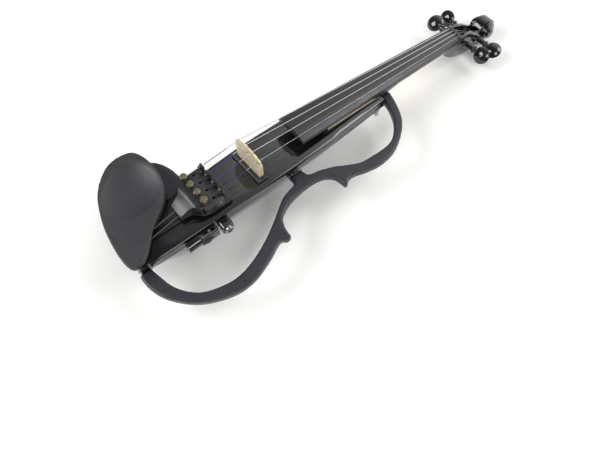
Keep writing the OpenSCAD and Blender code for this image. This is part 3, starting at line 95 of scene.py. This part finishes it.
def welded_copy(node, name=None):
    source = frame["nodes"][node]
    piece = bpy.data.objects.new(name or node + "_finish", source.data.copy())
    bpy.context.scene.collection.objects.link(piece)
    piece.matrix_world = source.matrix_world.copy()
    piece.data.materials.clear()
    select_only(piece)
    bpy.ops.object.mode_set(mode="EDIT")
    bpy.ops.mesh.select_all(action="SELECT")
    bpy.ops.mesh.remove_doubles(threshold=0.00001)
    bpy.ops.mesh.dissolve_limited(angle_limit=math.radians(1.0))
    bpy.ops.mesh.normals_make_consistent(inside=False)
    bpy.ops.object.mode_set(mode="OBJECT")
    return piece


def apply_all(piece):
    select_only(piece)
    for modifier in list(piece.modifiers):
        bpy.ops.object.modifier_apply(modifier=modifier.name)


def round_edges(piece, width, segments=3, angle=35):
    bevel = piece.modifiers.new("round", "BEVEL")
    bevel.width = width
    bevel.segments = segments
    bevel.limit_method = "ANGLE"
    bevel.angle_limit = math.radians(angle)
    bevel.harden_normals = False
    apply_all(piece)


def mould(piece, grain, passes):
    remesh = piece.modifiers.new("mould", "REMESH")
    remesh.mode = "VOXEL"
    remesh.voxel_size = grain
    soften = piece.modifiers.new("soften", "SMOOTH")
    soften.factor = 0.5
    soften.iterations = passes
    apply_all(piece)


def smooth(piece, angle=40):
    select_only(piece)
    bpy.ops.object.shade_smooth_by_angle(angle=math.radians(angle))


body_of_node = {n: b for b, nodes in record["behaviour"]["bodies"].items() for n in nodes}


def finish_piece(piece, node, material):
    piece.data.materials.clear()
    piece.data.materials.append(material)
    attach(piece, body_of_node[node])
    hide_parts(node)


# %% [markdown]
# ## Helpers for materials
# Every finish starts from one Principled shader. Its colour and its roughness are broken up
# by noise on Object coordinates, because no real surface is one flat number, and a fine
# bump gives the highlight something to catch on.

# %% Material helpers
def shader(name, roughness=0.5, metallic=0.0, coat=0.0, coat_roughness=0.05, specular=0.5):
    material = bpy.data.materials.new(name)
    material.use_nodes = True
    tree = material.node_tree
    tree.nodes.clear()
    out = tree.nodes.new("ShaderNodeOutputMaterial")
    surface = tree.nodes.new("ShaderNodeBsdfPrincipled")
    surface.inputs["Roughness"].default_value = roughness
    surface.inputs["Metallic"].default_value = metallic
    surface.inputs["Coat Weight"].default_value = coat
    surface.inputs["Coat Roughness"].default_value = coat_roughness
    surface.inputs["Specular IOR Level"].default_value = specular
    tree.links.new(surface.outputs[0], out.inputs[0])
    return material, tree, surface


def place(tree, scale=(1, 1, 1), turn=(0, 0, 0)):
    coords = tree.nodes.new("ShaderNodeTexCoord")
    mapping = tree.nodes.new("ShaderNodeMapping")
    mapping.inputs["Scale"].default_value = scale
    mapping.inputs["Rotation"].default_value = turn
    tree.links.new(coords.outputs["Object"], mapping.inputs[0])
    return mapping.outputs[0]


def noise(tree, where, scale, detail=4.0, rough=0.55):
    n = tree.nodes.new("ShaderNodeTexNoise")
    n.inputs["Scale"].default_value = scale
    n.inputs["Detail"].default_value = detail
    n.inputs["Roughness"].default_value = rough
    tree.links.new(where, n.inputs["Vector"])
    return n.outputs["Fac"]


def ramp(tree, value, stops):
    r = tree.nodes.new("ShaderNodeValToRGB")
    r.color_ramp.elements[0].position = stops[0][0]
    r.color_ramp.elements[0].color = (*stops[0][1], 1)
    r.color_ramp.elements[1].position = stops[-1][0]
    r.color_ramp.elements[1].color = (*stops[-1][1], 1)
    for at, colour in stops[1:-1]:
        e = r.color_ramp.elements.new(at)
        e.color = (*colour, 1)
    tree.links.new(value, r.inputs[0])
    return r.outputs["Color"]


def spread(tree, value, low, high, start=0.3, end=0.7):
    m = tree.nodes.new("ShaderNodeMapRange")
    m.inputs["From Min"].default_value = start
    m.inputs["From Max"].default_value = end
    m.inputs["To Min"].default_value = low
    m.inputs["To Max"].default_value = high
    tree.links.new(value, m.inputs["Value"])
    return m.outputs["Result"]


def bump(tree, surface, height, strength, distance=0.0005):
    b = tree.nodes.new("ShaderNodeBump")
    b.inputs["Strength"].default_value = strength
    b.inputs["Distance"].default_value = distance
    tree.links.new(height, b.inputs["Height"])
    tree.links.new(b.outputs[0], surface.inputs["Normal"])


def mixed(tree, factor, a, b):
    m = tree.nodes.new("ShaderNodeMix")
    m.data_type = "RGBA"
    tree.links.new(factor, m.inputs["Factor"])
    for socket, value in ((m.inputs[6], a), (m.inputs[7], b)):
        if isinstance(value, tuple):
            socket.default_value = (*value, 1)
        else:
            tree.links.new(value, socket)
    return m.outputs[2]


print("material helpers ready")

# %% [markdown]
# ## Lacquers and plastics
# The body wears a deep black gloss lacquer: nearly no colour of its own, a mirror with the
# faintest orange peel. The frame, the wing and the chin rest are a satin black that
# scatters the light into a soft grey. They differ only in roughness and grain.

# %% Blacks
def lacquer(name, colour=(0.004, 0.004, 0.005)):
    material, tree, s = shader(name, coat=0.6, coat_roughness=0.03, specular=0.5)
    where = place(tree)
    cloud = noise(tree, where, 38)
    tint = tuple(min(1, c * 2.2 + 0.002) for c in colour)
    tree.links.new(ramp(tree, cloud, [(0.35, colour), (0.75, tint)]), s.inputs["Base Color"])
    tree.links.new(spread(tree, noise(tree, where, 130, 6), 0.05, 0.12), s.inputs["Roughness"])
    bump(tree, s, noise(tree, where, 520, 2), 0.035)
    return material


def satin(name, dark, light, low, high, grain=2600, depth=0.12, coat=0.0):
    material, tree, s = shader(name, coat=coat, coat_roughness=0.25)
    where = place(tree)
    tree.links.new(ramp(tree, noise(tree, where, 24, 5), [(0.3, dark), (0.7, light)]),
                   s.inputs["Base Color"])
    tree.links.new(spread(tree, noise(tree, where, 210, 6), low, high), s.inputs["Roughness"])
    bump(tree, s, noise(tree, where, grain, 2), depth, 0.0002)
    return material


body_lacquer = lacquer("body_lacquer")
peg_lacquer = lacquer("peg_lacquer", (0.006, 0.006, 0.007))
frame_satin = satin("frame_satin", (0.012, 0.012, 0.018), (0.017, 0.017, 0.024), 0.34, 0.44)
chin_satin = satin("chin_satin", (0.017, 0.017, 0.02), (0.024, 0.024, 0.028), 0.42, 0.52,
                   grain=2400, depth=0.08)
tail_satin = satin("tail_satin", (0.012, 0.012, 0.014), (0.019, 0.019, 0.022), 0.26, 0.36)
base_plastic = satin("base_plastic", (0.012, 0.012, 0.013), (0.02, 0.02, 0.021), 0.4, 0.55)
wheel_plastic = satin("wheel_plastic", (0.016, 0.016, 0.017), (0.026, 0.026, 0.027), 0.45, 0.6)
lever_black = satin("lever_black", (0.02, 0.02, 0.022), (0.035, 0.035, 0.037), 0.3, 0.45)
gut_nylon = satin("gut_nylon", (0.012, 0.012, 0.012), (0.02, 0.02, 0.02), 0.3, 0.45)
switch_plastic = satin("switch_plastic", (0.1, 0.1, 0.105), (0.16, 0.16, 0.165), 0.3, 0.42)
print("blacks:", body_lacquer.name, frame_satin.name, chin_satin.name)

# %% [markdown]
# ## Woods
# The neck is one piece of maple. Its handle and its root keep the pale wood under a thin
# satin varnish, while the heel and the head are lacquered black, so one material blends
# the two along the length. The fingerboard is dyed hardwood with faint long pores.
# The bridge is raw maple, cut so that the short dark ray flecks show on its face.

# %% Woods
def along_x(tree, stops):
    coords = tree.nodes.new("ShaderNodeTexCoord")
    split = tree.nodes.new("ShaderNodeSeparateXYZ")
    tree.links.new(coords.outputs["Object"], split.inputs[0])
    to_unit = tree.nodes.new("ShaderNodeMapRange")
    to_unit.inputs["From Min"].default_value = -0.2
    to_unit.inputs["From Max"].default_value = 0.45
    tree.links.new(split.outputs["X"], to_unit.inputs["Value"])
    curve = [((x + 0.2) / 0.65, (v, v, v)) for x, v in stops]
    return ramp(tree, to_unit.outputs["Result"], curve)


def neck_maple():
    material, tree, s = shader("neck_maple", coat=0.5, coat_roughness=0.08)
    grain = noise(tree, place(tree, (10, 150, 150)), 3, 6, 0.6)
    flame = noise(tree, place(tree, (220, 18, 18)), 1.2, 2, 0.4)
    wood = ramp(tree, grain, [(0.3, (0.6, 0.48, 0.31)), (0.55, (0.72, 0.6, 0.42)),
                              (0.75, (0.8, 0.7, 0.52))])
    wood = mixed(tree, spread(tree, flame, 0.0, 0.35), wood, (0.54, 0.41, 0.25))
    black = along_x(tree, [(0.168, 0.0), (0.176, 1.0), (0.208, 1.0), (0.214, 0.0),
                           (0.3, 0.0), (0.305, 1.0)])
    tree.links.new(mixed(tree, black, wood, (0.005, 0.005, 0.006)), s.inputs["Base Color"])
    shine = mixed(tree, black, (0.35, 0.35, 0.35), (0.1, 0.1, 0.1))
    tree.links.new(shine, s.inputs["Roughness"])
    bump(tree, s, grain, 0.05)
    return material


def black_board(name):
    material, tree, s = shader(name, coat=0.15, coat_roughness=0.3)
    pores = noise(tree, place(tree, (14, 420, 420)), 4, 5, 0.65)
    tree.links.new(ramp(tree, pores, [(0.3, (0.008, 0.008, 0.011)), (0.5, (0.013, 0.013, 0.016)),
                                      (0.72, (0.02, 0.02, 0.024))]), s.inputs["Base Color"])
    tree.links.new(spread(tree, noise(tree, place(tree), 90, 5), 0.34, 0.48), s.inputs["Roughness"])
    bump(tree, s, pores, 0.12, 0.0002)
    return material


def bridge_maple():
    material, tree, s = shader("bridge_maple", roughness=0.6)
    tone = ramp(tree, noise(tree, place(tree, (1, 12, 40)), 12, 6),
                [(0.3, (0.52, 0.43, 0.28)), (0.6, (0.66, 0.57, 0.41)), (0.8, (0.74, 0.67, 0.52))])
    fleck = noise(tree, place(tree, (90, 300, 900)), 1.0, 1, 0.3)
    colour = mixed(tree, spread(tree, fleck, 0.0, 0.85, 0.6, 0.64), tone, (0.3, 0.19, 0.09))
    # a small round spot where the E string and its sleeve cross the bridge top is painted darker
    # brown
    patch = tree.nodes.new("ShaderNodeVectorMath")
    patch.operation = "DISTANCE"
    patch.inputs[1].default_value = (0.0, -0.0175, 0.0945)
    tree.links.new(place(tree), patch.inputs[0])
    e_string_dark_spot = spread(tree, patch.outputs["Value"], 0.75, 0.0, 0.001, 0.0035)
    colour = mixed(tree, e_string_dark_spot, colour, (0.13, 0.07, 0.035))
    tree.links.new(colour, s.inputs["Base Color"])
    bump(tree, s, noise(tree, place(tree, (1, 60, 200)), 14, 4), 0.15, 0.0002)
    return material


def cork():
    material, tree, s = shader("cork", roughness=0.85)
    cells = tree.nodes.new("ShaderNodeTexVoronoi")
    cells.inputs["Scale"].default_value = 900
    tree.links.new(place(tree), cells.inputs["Vector"])
    tree.links.new(ramp(tree, cells.outputs["Distance"], [(0.0, (0.2, 0.11, 0.05)),
                                                          (0.5, (0.42, 0.27, 0.14))]),
                   s.inputs["Base Color"])
    bump(tree, s, cells.outputs["Distance"], 0.5)
    return material


maple = neck_maple()
board_wood = black_board("board_wood")
bridge_wood = bridge_maple()
cork_sheet = cork()
print("woods:", maple.name, board_wood.name, bridge_wood.name, cork_sheet.name)

# %% [markdown]
# ## Metals and strings
# The tuner screws are worn nickel with the yellow of the brass coming through. A wound
# string is a core with a flat ribbon round it: a fine wave across its length bumps the
# ribs and also paints their colour, with painted shade in the grooves and a painted
# highlight on the crests. Its tail end is wrapped in purple silk.

# %% Metals
def metal(name, dark, light, low, high, brushed=(1, 1, 1), scale=300):
    material, tree, s = shader(name, metallic=1.0)
    cloud = noise(tree, place(tree, brushed), scale, 5)
    tree.links.new(ramp(tree, cloud, [(0.3, dark), (0.7, light)]), s.inputs["Base Color"])
    tree.links.new(spread(tree, cloud, low, high), s.inputs["Roughness"])
    bump(tree, s, cloud, 0.06, 0.0001)
    return material


nickel = metal("worn_nickel", (0.13, 0.115, 0.075), (0.3, 0.27, 0.19), 0.3, 0.45, scale=420)
steel = metal("plain_steel", (0.45, 0.45, 0.47), (0.62, 0.62, 0.64), 0.25, 0.4)
chrome = metal("socket_chrome", (0.3, 0.3, 0.31), (0.46, 0.46, 0.48), 0.14, 0.26)
plate_metal = metal("plate_metal", (0.14, 0.14, 0.15), (0.24, 0.24, 0.25), 0.3, 0.42,
                    brushed=(6, 180, 1), scale=8)
brass = metal("ball_brass", (0.6, 0.42, 0.14), (0.78, 0.6, 0.28), 0.18, 0.32)


def string_wire(name, pitch, purple=True):
    material, tree, s = shader(name, metallic=1.0, roughness=0.3)
    ribs = tree.nodes.new("ShaderNodeTexWave")
    ribs.bands_direction = "X"
    ribs.inputs["Scale"].default_value = pitch
    ribs.inputs["Distortion"].default_value = 0.0
    tree.links.new(place(tree), ribs.inputs["Vector"])
    # painted shade in the rib grooves and painted highlight on the rib crests, following the bump
    rib_shade_and_highlight = ramp(tree, ribs.outputs["Fac"], [(0.0, (0.5, 0.5, 0.52)), (0.6, (0.82, 0.82, 0.84))])
    if purple:
        silk = along_x(tree, [(-0.0155, 1.0), (-0.0145, 0.0)])
        tree.links.new(mixed(tree, silk, rib_shade_and_highlight, (0.05, 0.012, 0.2)), s.inputs["Base Color"])
        tree.links.new(mixed(tree, silk, (1.0, 1.0, 1.0), (0.0, 0.0, 0.0)), s.inputs["Metallic"])
        tree.links.new(mixed(tree, silk, (0.28, 0.28, 0.28), (0.7, 0.7, 0.7)),
                       s.inputs["Roughness"])
    else:
        tree.links.new(rib_shade_and_highlight, s.inputs["Base Color"])
    bump(tree, s, ribs.outputs["Fac"], 0.4, 0.0001)
    return material


wound_string = string_wire("wound_string", 900)
plain_string = string_wire("plain_string", 2600)
winding_wire = metal("winding_wire", (0.5, 0.5, 0.52), (0.75, 0.75, 0.77), 0.25, 0.4)
print("metals:", nickel.name, steel.name, chrome.name, wound_string.name)

# %% [markdown]
# ## Small finishes
# The green sleeve on the thinnest string, the circuit board, the cells and the pickup strip
# each get their own short recipe.

# %% Small finishes
def speckled(name, dark, light, roughness, scale, metallic=0.0):
    material, tree, s = shader(name, roughness=roughness, metallic=metallic)
    cloud = noise(tree, place(tree), scale, 4)
    tree.links.new(ramp(tree, cloud, [(0.35, dark), (0.65, light)]), s.inputs["Base Color"])
    bump(tree, s, cloud, 0.1, 0.0002)
    return material


sleeve_rubber = speckled("sleeve_rubber", (0.02, 0.33, 0.11), (0.04, 0.42, 0.15), 0.45, 600)
circuit_lacquer = speckled("circuit_lacquer", (0.01, 0.1, 0.03), (0.03, 0.2, 0.06), 0.3, 240)
cell_sleeve = speckled("cell_sleeve", (0.03, 0.09, 0.25), (0.05, 0.13, 0.32), 0.3, 60)
print("small finishes:", sleeve_rubber.name, circuit_lacquer.name, cell_sleeve.name)

# %% [markdown]
# ## Rounded copies of the CAD pieces
# Each visible piece is welded, rounded and shaded smooth. The width of the rounding is what
# the real piece has: the lacquered body only breaks its edges, and the metal parts are
# crisp.

# %% List of rounded pieces
# node, finish, width of the rounding in metres, segments, least angle that is rounded
ROUNDED = [
    ("top_shell", body_lacquer, 0.0006, 2, 30), ("lower_shell", body_lacquer, 0.0005, 2, 40),
    ("tail_block", body_lacquer, 0.0012, 3, 35), ("battery_door", body_lacquer, 0.0003, 2, 40),
    ("fingerboard", board_wood, 0.0008, 3, 30), ("nut", board_wood, 0.0004, 2, 35),
    ("saddle", board_wood, 0.0005, 2, 35), ("tailpiece", tail_satin, 0.0009, 3, 35),
    ("bridge", bridge_wood, 0.0005, 2, 35),
    ("pickup_base", base_plastic, 0.0005, 2, 35), ("neck", maple, 0.0012, 3, 40),
    ("control_housing", body_lacquer, 0.0006, 2, 35), ("control_plate", plate_metal, 0.0002, 2, 40),
    ("volume_wheel", wheel_plastic, 0.0002, 2, 35), ("power_switch", switch_plastic, 0.0002, 2, 40),
    ("jack_block", body_lacquer, 0.0008, 3, 40), ("jack_nut", chrome, 0.0002, 2, 40),
    ("frame_nut", steel, 0.0003, 2, 30), ("end_pin", peg_lacquer, 0.0004, 2, 35),
]
for letter in "gdae":
    ROUNDED += [("peg_" + letter, peg_lacquer, 0.0003, 2, 30),
                ("tuner_screw_" + letter, nickel, 0.00012, 2, 40),
                ("tuner_lever_" + letter, lever_black, 0.0003, 2, 40),
                ("tuner_washer_" + letter, steel, 0.0001, 1, 40),
                ("winding_" + letter, winding_wire, 0.0, 1, 60)]

print("pieces to round:", len(ROUNDED))

# %% [markdown]
# ## Moulded pieces
# The frame, the wing and the chin rest come out of a mould, so nothing on them is sharp. A
# bevel would crease on their curved walls. Their copies are rebuilt as an even skin of small
# squares instead, and the skin is relaxed a few times. The chin rest then gets its oval dish,
# a shallow bowl that starts with a crisp line, where a chin lies.

# %% Moulded pieces
finished = {}
# node, finish, size of the squares in metres, passes of relaxing
MOULDED = [("side_frame", frame_satin, 0.0011, 10), ("bass_wing", frame_satin, 0.0011, 8),
           ("chin_rest", chin_satin, 0.0009, 3)]
DISH_MIDDLE = Vector((-0.1255, 0.0395))
DISH_LONG = Vector((0.463, 0.886))
DISH_WIDE = Vector((0.886, -0.463))
DISH_HALF_LENGTH = 0.0496
DISH_HALF_WIDTH = 0.0343
DISH_DEPTH = 0.0024


def press_dish(piece):
    for v in piece.data.vertices:
        out = v.co.xy - DISH_MIDDLE
        along = out.dot(DISH_LONG) / DISH_HALF_LENGTH
        across = out.dot(DISH_WIDE) / DISH_HALF_WIDTH
        r = along ** 2 + across ** 2
        if r < 1 and v.normal.z > 0.4:
            v.co.z -= DISH_DEPTH * (1 - r * r)


for node, material, grain, passes in MOULDED:
    piece = welded_copy(node)
    mould(piece, grain, passes)
    if node == "chin_rest":
        press_dish(piece)
    smooth(piece, 70)
    finish_piece(piece, node, material)
    finished[node] = piece
    print(node, len(piece.data.polygons), "faces")

# %% Rounded pieces
for node, material, width, segments, angle in ROUNDED:
    piece = welded_copy(node)
    if width:
        round_edges(piece, width, segments, angle)
    smooth(piece, 40)
    finish_piece(piece, node, material)
    finished[node] = piece
    print(node, len(piece.data.polygons), "faces")

# %% [markdown]
# ## The carved turns of the scroll
# A carver cuts a rounded ridge that winds into each eye of the scroll. Here it is a curve
# that winds inwards while it climbs, with a round section that thins towards the eye.

# %% Scroll ridges
SCROLL_RADIUS = 0.016
RIDGE_STEPS = 72
RIDGE_TURNS = 1.8
head_low, head_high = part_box("neck")
scroll_middle = Vector((head_high[0] - SCROLL_RADIUS, 0, head_low[2] + SCROLL_RADIUS))


def scroll_ridge(side):
    line = bpy.data.curves.new("scroll_ridge", "CURVE")
    line.dimensions = "3D"
    line.bevel_depth = 0.0011
    line.bevel_resolution = 3
    line.use_fill_caps = True
    winding = line.splines.new("POLY")
    winding.points.add(RIDGE_STEPS)
    for i in range(RIDGE_STEPS + 1):
        part = i / RIDGE_STEPS
        turn = 2.1 + part * 2 * RIDGE_TURNS * math.pi
        reach = 0.0152 - 0.0102 * part
        out = 0.0062 + 0.0072 * part
        winding.points[i].co = (scroll_middle.x + reach * math.cos(turn), side * out,
                                scroll_middle.z + reach * math.sin(turn), 1)
        winding.points[i].radius = 1.25 - 0.5 * part
    ridge = bpy.data.objects.new("scroll_ridge_" + ("bass" if side > 0 else "treble"), line)
    bpy.context.scene.collection.objects.link(ridge)
    select_only(ridge)
    bpy.ops.object.convert(target="MESH")
    smooth(ridge, 60)
    ridge.data.materials.clear()
    ridge.data.materials.append(peg_lacquer)
    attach(ridge, body_of_node["neck"])
    return ridge


ridges = [scroll_ridge(side) for side in (1, -1)]
print("scroll ridges:", [len(r.data.polygons) for r in ridges])

# %% [markdown]
# ## Pieces that keep their CAD mesh
# Screws, pins, strings and what is sealed inside have the right shape already and only
# take a material.

# %% Kept pieces
KEPT = {"neck_bolts": steel, "tail_gut": gut_nylon, "piezo_strip": brass,
        "tuner_bushings": nickel, "tuner_axle": steel, "string_g": wound_string,
        "string_d": wound_string, "string_a": wound_string, "string_e": plain_string,
        "string_sleeve": sleeve_rubber, "chin_rest_pads": cork_sheet,
        "chin_rest_screws": steel, "wing_screws": steel, "frame_screws": steel,
        "circuit_board": circuit_lacquer, "battery_cells": cell_sleeve,
        "battery_contacts": steel, "door_pin": steel}
for node, material in KEPT.items():
    slots = frame["nodes"][node].material_slots
    if not slots:
        frame["nodes"][node].data.materials.append(material)
    for s in frame["nodes"][node].material_slots:
        s.material = material
left_over = set(frame["nodes"]) - set(KEPT) - set(finished)
print("kept:", len(KEPT), "without a finish:", sorted(left_over))

# %% [markdown]
# ## Table and light
# A pale table, a window behind the tail, a lamp on the treble side and the light of a door
# beyond the head. The room is dark except towards the head, because gloss black shows
# nothing but what it reflects.

# %% Stage
bpy.ops.object.select_all(action="DESELECT")
bpy.ops.mesh.primitive_plane_add(size=6, location=(0.1, 0, 0))
table = bpy.context.object
table.name = "table"
table_finish, tree, s = shader("table_finish", roughness=0.7)
TABLE_TONES = [(0.3, (0.82, 0.82, 0.8)), (0.7, (0.85, 0.85, 0.83))]
tree.links.new(ramp(tree, noise(tree, place(tree), 3, 3), TABLE_TONES), s.inputs["Base Color"])
table.data.materials.append(table_finish)

world = bpy.data.worlds.new("studio")
bpy.context.scene.world = world
world.use_nodes = True
sky = world.node_tree
background = sky.nodes["Background"]
background.inputs["Strength"].default_value = 1.0
toward = sky.nodes.new("ShaderNodeVectorMath")
toward.operation = "DOT_PRODUCT"
toward.inputs[1].default_value = Vector((0.72, 0.12, 0.42)).normalized()
sky.links.new(sky.nodes.new("ShaderNodeTexCoord").outputs["Generated"], toward.inputs[0])
WALLS = [(0.0, (0.09, 0.09, 0.093)), (0.45, (0.13, 0.13, 0.133)),
         (0.8, (0.9, 0.9, 0.9)), (0.95, (1.6, 1.6, 1.58))]
sky.links.new(ramp(sky, toward.outputs["Value"], WALLS), background.inputs["Color"])


def soft_light(name, place_at, look_at, size, power):
    data = bpy.data.lights.new(name, "AREA")
    data.shape = "SQUARE"
    data.size = size
    data.energy = power
    light = bpy.data.objects.new(name, data)
    light.location = place_at
    light.rotation_euler = (Vector(look_at) - Vector(place_at)).to_track_quat("-Z", "Y").to_euler()
    bpy.context.scene.collection.objects.link(light)
    return light


soft_light("window", (-1.5, 0.9, 1.5), (0.0, 0.0, 0.0), 1.4, 50)
soft_light("lamp", (-0.5, -1.7, 2.2), (0.1, 0.0, 0.0), 1.2, 24)
soft_light("door", (1.6, -0.9, 1.7), (0.3, -0.1, 0.0), 1.3, 26)
bpy.context.scene.view_settings.view_transform = "Standard"
print("table and lights ready")
